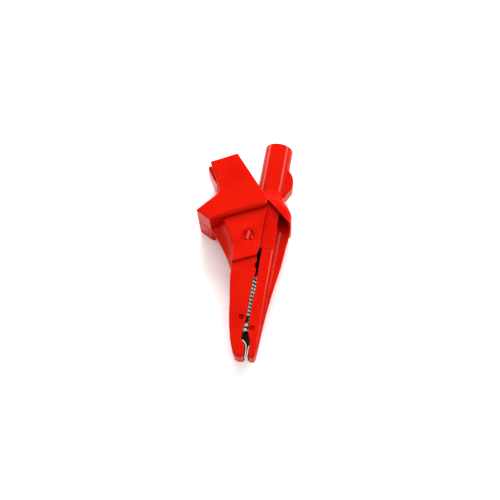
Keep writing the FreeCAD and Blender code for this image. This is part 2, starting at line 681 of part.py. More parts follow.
def finish():
    doc.recompute()
    for item in doc.Objects:
        if "Invalid" in item.State or "Error" in item.State:
            raise SystemExit(f"{item.Name} failed: {item.State}")
    os.makedirs("parts", exist_ok=True)
    for name, item in NODES.items():
        if item.Shape.isNull() or not item.Shape.isValid():
            raise SystemExit(f"{name} has no valid shape")
        item.Shape.exportStep(f"parts/{name}.step")
        print(name, len(item.Shape.Solids), round(item.Shape.Volume, 1))


socket_housing()
lever_shells()
fixed_contact_jaw()
moving_contact_jaw()
socket_sleeve()
contact_rivet()
pivot_parts()
jaw_pins()
torsion_spring()
finish()
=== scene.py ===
"""Looks of a fully insulated alligator clip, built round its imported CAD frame."""

import json
import math

import bmesh
import bpy
from mathutils import Matrix, Vector


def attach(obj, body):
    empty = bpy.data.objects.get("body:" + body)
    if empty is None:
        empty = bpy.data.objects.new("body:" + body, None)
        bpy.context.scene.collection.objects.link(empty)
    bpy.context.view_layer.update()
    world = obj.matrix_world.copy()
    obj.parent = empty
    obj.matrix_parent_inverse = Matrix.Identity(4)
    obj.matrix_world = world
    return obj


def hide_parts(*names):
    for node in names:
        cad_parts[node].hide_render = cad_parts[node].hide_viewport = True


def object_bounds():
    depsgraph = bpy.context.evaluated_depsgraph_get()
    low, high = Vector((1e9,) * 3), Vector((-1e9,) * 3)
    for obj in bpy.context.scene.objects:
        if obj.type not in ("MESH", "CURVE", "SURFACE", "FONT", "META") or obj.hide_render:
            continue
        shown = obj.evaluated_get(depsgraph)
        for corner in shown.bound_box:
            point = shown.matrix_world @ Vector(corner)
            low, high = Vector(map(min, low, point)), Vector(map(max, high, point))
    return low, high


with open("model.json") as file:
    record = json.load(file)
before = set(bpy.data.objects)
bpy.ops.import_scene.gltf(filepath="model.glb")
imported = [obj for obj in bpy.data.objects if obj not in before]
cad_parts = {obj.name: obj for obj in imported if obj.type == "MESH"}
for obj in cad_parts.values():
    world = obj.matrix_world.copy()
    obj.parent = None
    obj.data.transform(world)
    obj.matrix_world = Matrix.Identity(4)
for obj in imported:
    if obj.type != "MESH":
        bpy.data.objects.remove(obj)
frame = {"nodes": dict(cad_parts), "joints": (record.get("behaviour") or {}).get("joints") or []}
cad_low, cad_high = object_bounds()
scene = bpy.context.scene

# ---- camera -------------------------------------------------------------------------------
# The clip lies on its side with its jaws towards the viewer. The camera looks down at it,
# a little from the right, and is rolled slightly.
MM = 0.001
LOOK_AT = Vector((-4.35, -45.9, 0.0)) * MM
CAMERA_DISTANCE = 0.3683
CAMERA_ELEVATION, CAMERA_AZIMUTH, CAMERA_ROLL = (math.radians(a) for a in (65.5, 14.8, -5.4))
back = Vector((
    math.sin(CAMERA_AZIMUTH) * math.cos(CAMERA_ELEVATION),
    -math.cos(CAMERA_AZIMUTH) * math.cos(CAMERA_ELEVATION),
    math.sin(CAMERA_ELEVATION),
))
level = Vector((math.cos(CAMERA_AZIMUTH), math.sin(CAMERA_AZIMUTH), 0.0))
upright = back.cross(level)
right = level * math.cos(CAMERA_ROLL) + upright * math.sin(CAMERA_ROLL)
up = upright * math.cos(CAMERA_ROLL) - level * math.sin(CAMERA_ROLL)
camera = bpy.data.objects.new("camera", bpy.data.cameras.new("camera"))
scene.collection.objects.link(camera)
camera.data.sensor_width = 36.0
camera.data.lens = 66.0
camera.rotation_mode = "QUATERNION"
camera.location = LOOK_AT + back * CAMERA_DISTANCE
camera.rotation_quaternion = Matrix((right, up, back)).transposed().to_quaternion()
camera.data.clip_start = 0.01
scene.camera = camera

# ---- floor and studio light ---------------------------------------------------------------
# A white sheet on a bench, one broad soft light high behind the clip, and two strip lights
# low at the left and right, which only draw the pale lines along the round tube.
FLOOR_GAP = 0.00005
FLOOR_REACH = 3.0


class Socket:
    """A shader socket or number that takes part in plain arithmetic."""

    def __init__(self, tree, value):
        self.tree = tree
        self.value = value

    def node(self, kind, settings=(), **sockets):
        """Adds a node; a socket is named, or given by its number as _2."""
        made = self.tree.nodes.new(kind)
        for name, value in dict(settings).items():
            setattr(made, name, value)
        for name, value in sockets.items():
            key = int(name[1:]) if name[0] == "_" else name.replace("_", " ")
            plug = made.inputs[key]
            if isinstance(value, Socket):
                value = value.value
            if isinstance(value, bpy.types.NodeSocket):
                self.tree.links.new(value, plug)
            else:
                plug.default_value = value
        return made

    def out(self, kind, settings=(), output=0, **sockets):
        return Socket(self.tree, self.node(kind, settings, **sockets).outputs[output])

    def calculate(self, operation, first, second):
        return self.out("ShaderNodeMath", {"operation": operation}, _0=first, _1=second)

    def __add__(self, other):
        return self.calculate("ADD", self, other)

    def __sub__(self, other):
        return self.calculate("SUBTRACT", self, other)

    def __rsub__(self, other):
        return self.calculate("SUBTRACT", other, self)

    def __mul__(self, other):
        return self.calculate("MULTIPLY", self, other)

    __radd__ = __add__
    __rmul__ = __mul__

    def between(self, low, high):
        """0 below low, 1 above high, smooth between."""
        return self.out("ShaderNodeMapRange", {"interpolation_type": "SMOOTHSTEP"},
                        Value=self, From_Min=low, From_Max=high)

    def mix(self, first, second):
        """The first colour where this is 0, the second where it is 1."""
        return self.out("ShaderNodeMix", {"data_type": "RGBA"}, 2, _0=self, _6=first, _7=second)


def material(name):
    """A new material with its Principled shader and its object coordinates."""
    made = bpy.data.materials.new(name)
    made.use_nodes = True
    shader = made.node_tree.nodes["Principled BSDF"]
    place = Socket(made.node_tree, 0.0).out("ShaderNodeTexCoord", output="Object")
    return made, shader, place


def feed(shader, **sockets):
    """Sets or links the shader's own sockets."""
    for name, value in sockets.items():
        plug = shader.inputs[name.replace("_", " ")]
        if isinstance(value, Socket):
            shader.id_data.links.new(value.value, plug)
        else:
            plug.default_value = value


def noise(place, scale, detail=3.0):
    return place.out("ShaderNodeTexNoise", Vector=place, Scale=scale, Detail=detail)


def stretched_noise(place, scale, turn=(0.0, 0.0, 0.0)):
    """Noise drawn out into streaks by a different scale along each axis."""
    drawn = place.out("ShaderNodeMapping", Vector=place, Rotation=turn, Scale=scale)
    return noise(drawn, 1.0, 2.0)


def bump(height, distance, strength):
    return height.out("ShaderNodeBump", Height=height, Distance=distance, Strength=strength)


paper, paper_shader, paper_place = material("white_sheet")
grain = noise(paper_place, 900.0)
feed(paper_shader, Roughness=0.75, Normal=bump(grain, 0.00002, 0.3),
     Base_Color=(grain * 0.5 + 0.25).mix((0.90, 0.90, 0.90, 1), (0.93, 0.93, 0.93, 1)))
floor_mesh = bpy.data.meshes.new("floor")
floor_build = bmesh.new()
bmesh.ops.create_grid(floor_build, x_segments=1, y_segments=1, size=FLOOR_REACH)
bmesh.ops.translate(floor_build, verts=floor_build.verts, vec=(0, 0, cad_low.z - FLOOR_GAP))
floor_build.to_mesh(floor_mesh)
floor_build.free()
floor_mesh.materials.append(paper)
floor = bpy.data.objects.new("floor", floor_mesh)
scene.collection.objects.link(floor)


def soft_light(name, at, size, power):
    """A rectangular lamp aimed at the middle of the clip."""
    lamp = bpy.data.lights.new(name, "AREA")
    lamp.shape = "RECTANGLE"
    lamp.size, lamp.size_y = size
    lamp.energy = power
    holder = bpy.data.objects.new(name, lamp)
    scene.collection.objects.link(holder)
    holder.location = at
    holder.rotation_mode = "QUATERNION"
    holder.rotation_quaternion = (LOOK_AT - Vector(at)).to_track_quat("-Z", "Y")
    return holder


overhead = soft_light("overhead", (0.06, 0.84, 0.60), (0.9, 0.7), 13.5)
overhead.visible_glossy = False
left_strip = soft_light("left_strip", (-0.82, 0.36, 0.11), (0.44, 0.16), 2.0)
right_strip = soft_light("right_strip", (0.78, 0.36, 0.27), (0.34, 0.16), 2.2)
left_strip.visible_diffuse = False
right_strip.visible_diffuse = False
world = bpy.data.worlds.new("studio")
scene.world = world
world.use_nodes = True
surround = world.node_tree.nodes["Background"]
surround.inputs["Color"].default_value = (1, 1, 1, 1)
surround.inputs["Strength"].default_value = 0.84
scene.view_settings.view_transform = "Standard"
scene.view_settings.look = "High Contrast"

# ---- socket housing -----------------------------------------------------------------------
# One moulding in satin red polyamide: the round socket tube with its finger lug, the bell that
# flares over the ears, the pivot plates inside it, and the fixed jaw's tapered bar, with a fin
# down its back. Its skin has a faint grain from the tool, fine rubs and paler worn edges.
RED = (0.46, 0.0115, 0.0002, 1)
RED_DEEP = (0.41, 0.0055, 0.0002, 1)
RED_WORN = (0.55, 0.0240, 0.0040, 1)


def red_plastic(name, tint, gloss):
    """Red moulding plastic; tint shifts its cloudy shades and gloss is its mean roughness."""
    made, shader, place = material(name)
    cloud = noise(place, 90.0, 4.0)
    fine = noise(place, 1400.0, 2.0)
    rubs = stretched_noise(place, (2600.0, 60.0, 300.0), (0.0, 0.3, 0.6))
    wear = place.out("ShaderNodeNewGeometry", output="Pointiness").between(0.515, 0.56)
    patchy = noise(place, 420.0).between(0.42, 0.66)
    colour = cloud.between(0.35 + tint, 0.75 + tint).mix(RED, RED_DEEP)
    colour = (wear * patchy * 0.55).mix(colour, RED_WORN)
    rough = cloud * 0.14 + (gloss - 0.07) + rubs.between(0.60, 0.74) * 0.12
    feed(shader, Base_Color=colour, Roughness=rough, Specular_IOR_Level=0.14,
         Normal=bump(fine * 0.6 + rubs.between(0.62, 0.8) * -0.5, 0.000012, 0.5))
    return made


# Outlines are drawn in millimetres about the pivot: U across, V towards the socket's mouth.
lever_pivot = next(joint for joint in frame["joints"] if joint["name"] == "lever_pivot")
PIVOT = Vector(lever_pivot["pos_m"])


def new_piece(name, build, body, nodes, finish, crease=38.0):
    """A finished piece from a bmesh in millimetres about the pivot."""
    bmesh.ops.remove_doubles(build, verts=build.verts, dist=0.0005)
    bmesh.ops.scale(build, verts=build.verts, vec=(MM, MM, MM))
    bmesh.ops.translate(build, verts=build.verts, vec=PIVOT)
    bmesh.ops.recalc_face_normals(build, faces=build.faces)
    mesh = bpy.data.meshes.new(name)
    build.to_mesh(mesh)
    build.free()
    mesh.shade_smooth()
    mesh.set_sharp_from_angle(angle=math.radians(crease))
    piece = bpy.data.objects.new(name, mesh)
    scene.collection.objects.link(piece)
    mesh.materials.append(finish)
    weigh = piece.modifiers.new("face_weights", "WEIGHTED_NORMAL")
    weigh.keep_sharp = True
    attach(piece, body)
    if nodes:
        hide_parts(*nodes)


def rounded(points, radii, steps=6):
    """An outline with each corner turned into a smooth bend of its own radius."""
    out = []
    for i, radius in enumerate(radii):
        here = Vector(points[i])
        to_last = Vector(points[i - 1]) - here
        to_next = Vector(points[(i + 1) % len(points)]) - here
        if radius <= 0:
            out.append(here)
            continue
        half = to_last.angle(to_next) / 2
        run = min(radius / math.tan(half), 0.45 * to_last.length, 0.45 * to_next.length)
        first = here + to_last.normalized() * run
        second = here + to_next.normalized() * run
        for k in range(steps + 1):
            f = k / steps
            out.append(first * (1 - f) ** 2 + here * 2 * f * (1 - f) + second * f ** 2)
    return out


def plate(points, low, high, top=0.0, bottom=0.0, segments=4):
    """An outline drawn up into a plate, with its upper and lower rims rounded."""
    build = bmesh.new()
    ring = [build.verts.new((p[0], p[1], low)) for p in points]
    base = build.faces.new(ring)
    grown = bmesh.ops.extrude_face_region(build, geom=[base])
    lid = [v for v in grown["geom"] if isinstance(v, bmesh.types.BMVert)]
    bmesh.ops.translate(build, verts=lid, vec=(0, 0, high - low))
    bmesh.ops.recalc_face_normals(build, faces=build.faces)
    for level_z, width in ((high, top), (low, bottom)):
        if width <= 0:
            continue
        rim = [e for e in build.edges if all(abs(v.co.z - level_z) < 1e-4 for v in e.verts)
               and len(e.link_faces) == 2 and any(abs(f.normal.z) < 0.5 for f in e.link_faces)]
        bmesh.ops.bevel(build, geom=rim, offset=width, offset_type="OFFSET", affect="EDGES",
                        segments=segments, profile=0.5, material=-1, clamp_overlap=True)
    return build


def loft(rings):
    """A closed skin over rings of points with equal counts, capped at both ends."""
    build = bmesh.new()
    loops = []
    for ring in rings:
        verts = [build.verts.new(p) for p in ring]
        loops.append([build.edges.new(pair) for pair in zip(verts, verts[1:] + verts[:1])])
    build.faces.new([e.verts[0] for e in loops[0]])
    build.faces.new([e.verts[0] for e in loops[-1]])
    for first, second in zip(loops, loops[1:]):
        bmesh.ops.bridge_loops(build, edges=first + second)
    bmesh.ops.recalc_face_normals(build, faces=build.faces)
    return build


def combine(base, others, operation="UNION"):
    """One solid from several, by boolean; the inputs are used up."""
    def holder(build):
        many = [f for f in build.faces if len(f.verts) > 4]
        bmesh.ops.triangulate(build, faces=many, ngon_method="EAR_CLIP")
        mesh = bpy.data.meshes.new("work")
        build.to_mesh(mesh)
        build.free()
        made = bpy.data.objects.new("work", mesh)
        scene.collection.objects.link(made)
        return made
    target = holder(base)
    tools = [holder(other) for other in others]
    for tool in tools:
        step = target.modifiers.new("join", "BOOLEAN")
        step.operation = operation
        step.solver = "MANIFOLD"
        step.object = tool
    graph = bpy.context.evaluated_depsgraph_get()
    result = bpy.data.meshes.new_from_object(target.evaluated_get(graph))
    build = bmesh.new()
    build.from_mesh(result)
    for used in [target, *tools]:
        data = used.data
        bpy.data.objects.remove(used)
        bpy.data.meshes.remove(data)
    bpy.data.meshes.remove(result)
    return build


def cylinder(radius, low, high, at=(0.0, 0.0), sides=96):
    """A round bar through the clip's thickness, between two levels."""
    build = bmesh.new()
    bmesh.ops.create_cone(build, cap_ends=True, segments=sides, radius1=radius, radius2=radius,
                          depth=high - low)
    bmesh.ops.translate(build, verts=build.verts, vec=(*at, (high + low) / 2))
    return build


TUBE_U, TUBE_R, MOUTH_V = 5.0, 5.8, 44.5
SHROUD_R, SHROUD_FLOOR, TUBE_END = 4.3, 22.5, 17.5
SLEEVE_R = 3.1
SWING_R = 15.8
WALL, BELL_WALL = 1.3, 1.4
PLATE_HALF, HUB_R, PIN_HOLE_R, JAW_PIN_R = 6.2, 5.2, 1.55, 0.85
BAR_PIN, BAR_PIN_LEVEL = (7.5, -36.87), 4.31
BEYOND = 20.0  # well past the outer faces, for cuts that go right through the thickness


def tube_solid():
    """The tube with its rounded lip, the shroud's room and the sleeve's seat."""
    build = bmesh.new()
    lip = 0.45
    profile = [(SLEEVE_R, TUBE_END), (TUBE_R - 0.15, TUBE_END), (TUBE_R - 0.05, 26.0),
               (TUBE_R, MOUTH_V - lip)]
    for k in range(1, 6):
        a = k / 5 * math.pi / 2
        profile.append((TUBE_R - lip + lip * math.cos(a), MOUTH_V - lip + lip * math.sin(a)))
    profile += [(SHROUD_R + 0.35, MOUTH_V), (SHROUD_R + 0.08, MOUTH_V - 0.12),
                (SHROUD_R, MOUTH_V - 0.4), (SHROUD_R, SHROUD_FLOOR), (SLEEVE_R, SHROUD_FLOOR)]
    verts = [build.verts.new((r, v, 0)) for r, v in profile]
    edges = [build.edges.new(pair) for pair in zip(verts, verts[1:] + verts[:1])]
    bmesh.ops.spin(build, geom=verts + edges, cent=(0, 0, 0), axis=(0, 1, 0),
                   angle=2 * math.pi, steps=96, use_merge=True)
    bmesh.ops.remove_doubles(build, verts=build.verts, dist=0.0005)
    bmesh.ops.translate(build, verts=build.verts, vec=(TUBE_U, 0, 0))
    bmesh.ops.recalc_face_normals(build, faces=build.faces)
    return build


def bell_ring(v, left, far, half, square, count=72):
    """One ring of the bell: round for square = 2, nearly a rectangle for a large value."""
    middle, reach = (left + far) / 2, (far - left) / 2
    ring = []
    for k in range(count):
        a = 2 * math.pi * (k + 0.5) / count
        c, s = math.cos(a), math.sin(a)
        grow = (abs(c) ** square + abs(s) ** square) ** (-1 / square)
        ring.append((middle + reach * c * grow, v, half * s * grow))
    return ring


BELL = [  # V, left, right, half thickness, squareness
    (24.4, -0.50, 10.50, 5.50, 2.0),
    (22.6, -0.72, 10.74, 5.72, 2.0),
    (21.2, -0.79, 10.98, 5.90, 2.1),
    (20.0, -0.80, 11.25, 6.15, 2.3),
    (18.8, -0.80, 11.75, 6.60, 2.7),
    (17.6, -0.80, 12.40, 7.15, 3.3),
    (16.4, -0.80, 13.05, 7.60, 4.2),
    (15.0, -0.80, 13.75, 7.85, 5.5),
    (13.4, -0.80, 14.55, 7.95, 7.5),
    (12.3, -0.80, 15.08, 7.99, 9.0),
    (11.7, -0.80, 15.30, 8.00, 10.0),
    (11.1, -0.80, 15.42, 8.00, 11.0),
    (8.6, -0.80, 15.50, 8.00, 12.0),
    (8.2, -0.80, 15.46, 7.97, 12.0),
]


def bell_solid():
    """The bell, hollowed, with its rim cut back clear of the swinging ears."""
    outer = loft([bell_ring(*station) for station in BELL])
    inner = loft([bell_ring(v - 0.2, left - 4, far - BELL_WALL, half - BELL_WALL, square + 1)
                  for v, left, far, half, square in BELL if v < TUBE_END]
                 + [bell_ring(5.0, -5, 14.1, 6.6, 12.0)])
    swing = cylinder(SWING_R, -BEYOND, BEYOND, sides=160)
    rim = plate([(5.1, 16.75), (14.6, 8.05), (15.2, 0.0), (0.0, 0.0), (0.0, 15.0)],
                -BEYOND, BEYOND)
    return combine(outer, [inner, swing, rim], "DIFFERENCE")


BAR = [  # V, gap edge, ridge, half thickness, fin reach
    (8.6, 6.2, 9.6, 6.2, 15.3),
    (6.6, 6.2, 10.2, 6.2, 15.4),
    (5.2, 6.2, 10.4, 6.2, 15.35),
    (-0.7, 6.0, 10.4, 6.2, 14.75),
    (-8.8, 5.75, 10.4, 6.02, 14.15),
    (-15.4, 5.95, 10.4, 5.63, 13.22),
    (-21.4, 6.2, 10.4, 5.28, 12.42),
    (-25.3, 5.9, 10.4, 5.02, 11.98),
    (-34.0, 5.9, 10.45, 4.48, 11.25),
    (-38.4, 6.2, 10.45, 4.22, 11.06),
    (-40.4, 6.9, 10.5, 4.10, 10.98),
    (-41.9, 7.5, 10.5, 4.01, 10.92),
    (-43.6, 7.70, 10.5, 3.90, 10.86),
    (-46.2, 7.75, 10.5, 3.75, 10.72),
    (-47.1, 7.78, 10.42, 3.66, 10.58),
    (-47.8, 7.88, 10.25, 3.50, 10.35),
    (-48.2, 8.1, 10.0, 3.25, 10.05),
    (-48.4, 8.5, 9.6, 2.85, 9.65),
]


def bar_ring(v, edge, ridge, half, fin):
    """A section of the bar: flat sides, a slanting ridge, then a hollow sweep out to the fin."""
    reach = max(fin - ridge, 0.05)
    thin = min(0.8, half * 0.3)
    curve = [(ridge - 0.72, half), (ridge - 0.62, half - 0.02), (ridge - 0.13, half - 0.41),
             (ridge - 0.04, half - 0.50), (ridge, half - 0.60)]
    for k in range(1, 9):
        f = k / 8
        curve.append((ridge + reach * (0.12 * f + 0.85 * f ** 2.6),
                      (half - 0.60) - (half - 0.60 - thin) * (1 - (1 - f) ** 2.4)))
    curve.append((fin - 0.06, thin - 0.08))
    curve.append((fin, thin - 0.26))
    side = [(edge + 0.25, half), (edge + 0.07, half - 0.07), (edge, half - 0.25)]
    upper = [(u, v, z) for u, z in reversed(side)] + [(u, v, z) for u, z in curve]
    lower = [(u, v, -z) for u, _, z in reversed(upper)]
    return upper + lower


def channel_solid():
    """The room for the contact metal, open at the gap side."""
    rings = []
    for v, _, ridge, half, _ in BAR[:-4]:
        inner = half - WALL
        rings.append([(-9, v, -inner), (ridge - WALL, v, -inner), (ridge - WALL, v, inner),
                      (-9, v, inner)])
    rings[0] = [(u, TUBE_END - 0.01, z) for u, _, z in rings[0]]
    return loft(rings)


def fairing(points, steps=5):
    """Points of an open outline joined by a smooth curve through them."""
    out = []
    for i in range(len(points) - 1):
        a = Vector(points[max(i - 1, 0)])
        b = Vector(points[i])
        c = Vector(points[i + 1])
        d = Vector(points[min(i + 2, len(points) - 1)])
        for k in range(steps):
            t = k / steps
            out.append(0.5 * ((2 * b) + (c - a) * t + (2 * a - 5 * b + 4 * c - d) * t ** 2
                              + (3 * b - a - 3 * c + d) * t ** 3))
    out.append(Vector(points[-1]))
    return out


DIMPLE_R, DIMPLE_SINK = 1.25, 0.62


def dimple(at, middle):
    """The ball that presses a round dish into a flat face over the end of a pin."""
    ball = bmesh.new()
    bmesh.ops.create_uvsphere(ball, u_segments=48, v_segments=24, radius=DIMPLE_R)
    bmesh.ops.translate(ball, verts=ball.verts, vec=(*at, middle))
    return ball


housing_red = red_plastic("red_housing", 0.0, 0.20)
lug_outline = fairing([(10.2, 34.3), (11.1, 33.5), (12.3, 31.9), (13.1, 29.9), (13.42, 27.6),
                       (13.2, 25.8), (12.3, 24.2), (11.5, 22.6), (10.6, 21.0)])
lug_outline += [Vector((8.5, 21.0)), Vector((8.5, 34.3))]
neck_outline = rounded([(-0.7, 19.4), (10.2, 19.4), (10.35, -4.0), (6.3, -4.0), (3.1, -4.2),
                        (-4.2, 3.1)], [0.5, 0.5, 0.4, 0.4, 3.0, 2.0])
housing = combine(tube_solid(), [
    bell_solid(),
    plate(lug_outline, -3.0, 3.0, 1.5, 1.5, 6),
    plate(neck_outline, -PLATE_HALF, PLATE_HALF, 0.25, 0.25, 3),
    cylinder(HUB_R, -PLATE_HALF, PLATE_HALF),
    plate([(9.4, 12.0), (14.6, 12.0), (14.9, 8.2), (15.3, 6.5), (9.4, 6.5)], -0.8, 0.8),
    loft([bar_ring(*station) for station in BAR]),
])
housing = combine(housing, [
    channel_solid(),
    cylinder(PIN_HOLE_R, -BEYOND, BEYOND, sides=64),
    cylinder(JAW_PIN_R, -BEYOND, BEYOND, BAR_PIN, sides=48),
    dimple(BAR_PIN, BAR_PIN_LEVEL + DIMPLE_SINK),
    dimple(BAR_PIN, -BAR_PIN_LEVEL - DIMPLE_SINK),
], "DIFFERENCE")
new_piece("socket_housing_moulding", housing, "housing", ["socket_housing"], housing_red)

# ---- lever shells -------------------------------------------------------------------------
# The lever, the ears and the moving jaw's cover are one box of the same red plastic, moulded
# as two half shells that meet on the mid-plane. Each has a thick cheek, a hollow thumb surface
# with a raised lip, a thumb stop, an ear over the pivot and a channel for the moving jaw.
CHEEK_LOW, CHEEK_HIGH, EAR_LOW, EAR_HIGH = 8.35, 10.25, 6.5, 8.0
SPINE_HIGH = CHEEK_HIGH - 1.2
COVER_PIN, COVER_PIN_LEVEL = (2.7, -33.31), 5.28
PIN_R, CAP_SEAT_R, CAP_SEAT_LEVEL = 1.5, 3.1, 7.1


def soft_plate(corners, low, high, under=0.2, steps=6):
    """A plate whose upper rim is rounded by its own width at each corner (u, v, turn, rim)."""
    points = [Vector((u, v, 0)) for u, v, _, _ in corners]
    count = len(points)
    turning = sum(points[i].cross(points[(i + 1) % count]).z for i in range(count))
    side = 1 if turning > 0 else -1
    inward, convex = [], []
    for i, here in enumerate(points):
        before = (here - points[i - 1]).normalized()
        after = (points[(i + 1) % count] - here).normalized()
        across = Vector((-after.y, after.x, 0)) * side
        normal = (Vector((-before.y, before.x, 0)) * side + across).normalized()
        inward.append(normal / max(normal.dot(across), 0.5))
        convex.append(before.cross(after).z * side > 0)

    def ring(level, share, drop):
        moved, radii = [], []
        for i, (_, _, turn, rim) in enumerate(corners):
            in_by = share if drop is None else rim * share
            height = level if drop is None else level - rim * drop
            moved.append(points[i] + inward[i] * in_by + Vector((0, 0, height)))
            bend = turn - in_by if convex[i] else turn + in_by
            radii.append(max(bend, 0.03) if turn else 0)
        return rounded(moved, radii, 5)

    rings = [ring(low, under, None), ring(low + under, 0.0, None)]
    for k in range(steps + 1):
        a = k / steps * math.pi / 2
        rings.append(ring(high, 1 - math.cos(a), 1 - math.sin(a)))
    return loft(rings)


THUMB = fairing([(-20.9, 29.25), (-19.75, 26.8), (-18.4, 24.2), (-17.0, 21.7), (-15.85, 19.4),
                 (-15.2, 17.4)], 4)
cheek = soft_plate(
    [(-10.65, 34.78, 0.5, 0.35), (-5.7, 28.8, 0, 0.35), (-0.7, 22.8, 6.0, 0.4),
     (2.4, 19.3, 0, 0.6), (4.85, 16.4, 1.3, 0.9), (4.92, 13.75, 0.7, 0.9), (2.6, 12.57, 0, 1.5),
     (-2.0, 10.34, 0, 1.7), (-8.0, 7.42, 0, 1.7), (-13.6, 4.7, 0, 1.5), (-16.4, 3.35, 0.7, 0.5),
     (-22.45, 6.7, 0.35, 0.4), (-19.5, 10.3, 0, 0.5), (-15.75, 14.9, 1.3, 0.8)]
    + [(p.x, p.y, 0, 1.0) for p in reversed(THUMB[1:])] + [(-20.9, 29.25, 0.2, 0.4)],
    CHEEK_LOW, CHEEK_HIGH)
THUMB_INSIDE = fairing([(-13.8, 17.4), (-14.4, 20.1), (-15.6, 22.4), (-17.0, 24.9),
                        (-19.4, 29.95)], 4)
BLOCK = [Vector(p) for p in ((-15.75, 14.9), (-22.3, 6.75), (-16.4, 3.5))]
spine_outline = ([p + Vector((0.15, 0.05)) for p in THUMB] + BLOCK
                 + [Vector((-9.5, 6.9)), Vector((-11.7, 9.25)), Vector((-13.7, 15.0))]
                 + THUMB_INSIDE)
spine = plate(spine_outline, 0.0, SPINE_HIGH, 0.0, 0.26, 2)
root_outline = rounded([(4.9, 13.9), (4.6, 14.5), (1.0, 15.2), (-6.0, 13.9), (-9.4, 11.9),
                        (-12.5, 8.6), (-14.6, 5.0), (-14.0, 4.75)],
                       [0.3] + [0.0] * 5 + [0.3, 0.0])
root = plate(root_outline, EAR_LOW, SPINE_HIGH)
ear = soft_plate(
    [(-10.9, 5.0, 0.3, 0.3), (-8.1, 0.5, 3.0, 0.55), (-5.65, -4.4, 4.0, 0.6),
     (-4.8, -11.0, 0, 0.5), (-4.7, -12.1, 0.5, 0.35), (0.0, -9.94, 0, 0.3),
     (4.4, -7.9, 0.4, 0.3), (4.95, -5.0, 0.8, 0.35), (4.95, 13.6, 0.3, 0.35),
     (-2.0, 14.0, 0, 0.3), (-10.0, 9.0, 0.3, 0.3)], EAR_LOW, EAR_HIGH)
FLARE = [  # V, outer edge at the mid-plane, ear edge, top level
    (5.4, -16.0, -11.3, 7.9),
    (3.9, -16.7, -10.3, 7.9),
    (2.2, -15.35, -9.25, 7.8),
    (-0.3, -13.3, -7.75, 7.75),
    (-2.6, -11.5, -6.55, 7.7),
    (-5.0, -9.75, -5.6, 7.6),
    (-7.6, -8.05, -5.15, 7.35),
    (-10.0, -6.7, -4.85, 7.1),
    (-12.4, -5.6, -4.74, 6.8),
    (-14.0, -5.0, -4.64, 6.6),
]


def flare_ring(v, outer, inner, top):
    """Half of the curved wall that runs from the mid-plane edge up to the ear."""
    outside = [(outer + 0.14, 0.0), (outer, 0.16), (outer, 0.95)]
    for k in range(1, 9):
        f = k / 8
        outside.append((outer + (inner - outer) * (1 - (1 - f) ** 2.1),
                        0.95 + (top - 0.95) * f ** 1.1))
    inside = [(inner + WALL, top), (inner + WALL, top * 0.45), (outer + WALL * 1.35, 0.9),
              (outer + WALL * 1.35, 0.0)]
    return [(u, v, z) for u, z in outside + inside]


flare = loft([flare_ring(*station) for station in FLARE])
COVER = [  # V, back edge, gap edge, half thickness
    (-8.0, -4.75, 4.4, 6.97),
    (-9.7, -4.74, 5.0, 6.98),
    (-11.0, -4.72, 4.55, 7.0),
    (-11.8, -4.71, 4.3, 6.96),
    (-12.6, -4.70, 4.65, 6.90),
    (-13.6, -4.68, 5.2, 6.83),
    (-16.0, -4.60, 5.1, 6.63),
    (-17.9, -4.45, 4.6, 6.47),
    (-22.6, -3.75, 4.6, 6.10),
    (-27.3, -2.95, 4.6, 5.72),
    (-34.6, -1.90, 4.62, 5.12),
    (-36.0, -1.60, 4.3, 5.02),
    (-36.8, -1.45, 4.15, 4.96),
    (-41.9, -0.20, 4.18, 4.55),
    (-42.5, -0.03, 4.6, 4.50),
    (-43.2, 0.20, 5.5, 4.44),
    (-43.9, 0.42, 5.95, 4.38),
    (-45.5, 1.05, 6.18, 4.25),
    (-47.2, 1.80, 6.14, 4.05),
    (-48.0, 2.30, 6.02, 3.80),
    (-48.45, 2.80, 5.70, 3.45),
    (-48.68, 3.40, 5.20, 3.00),
]


def cover_ring(v, outer, edge, half):
    """Half of the jaw cover's section: rounded at the back and along both near edges."""
    soft = min(0.85, half * 0.25)
    ring = [(edge, 0.0), (edge, half - 0.26), (edge - 0.07, half - 0.07), (edge - 0.26, half)]
    for k in range(7):
        a = math.radians(90 + 90 * k / 6)
        ring.append((outer + soft + soft * math.cos(a), half - soft + soft * math.sin(a)))
    ring += [(outer, 0.16), (outer + 0.14, 0.0)]
    return [(u, v, z) for u, z in ring]


def cover_room():
    """The moving jaw's channel, open at the gap side."""
    rings = []
    for v, outer, _, half in COVER[:-4]:
        back, inner = outer + WALL, half - WALL
        rings.append([(back, v, -1), (back, v, inner - 0.3), (back + 0.3, v, inner),
                      (12, v, inner), (12, v, -1)])
    rings[0] = [(u, -6.0, z) for u, _, z in rings[0]]
    return loft(rings)


def lip_ring(share):
    """One outline of the raised lip across the thumb surface, lower and shorter to each side."""
    line = [(-22.3, 28.6), (-22.1, 27.8), (-21.2, 26.6), (-20.0, 24.8), (-18.6, 23.0),
            (-16.9, 21.3), (-16.3, 22.0), (-19.4, 28.0), (-20.2, 29.4)]
    away = [0.45, 0.4, 0.35, 0.3, 0.2, 0.0, 0.0, 0.0, 0.0]
    return [(u + off * share, v + off * share * 0.5) for (u, v), off in zip(line, away)]


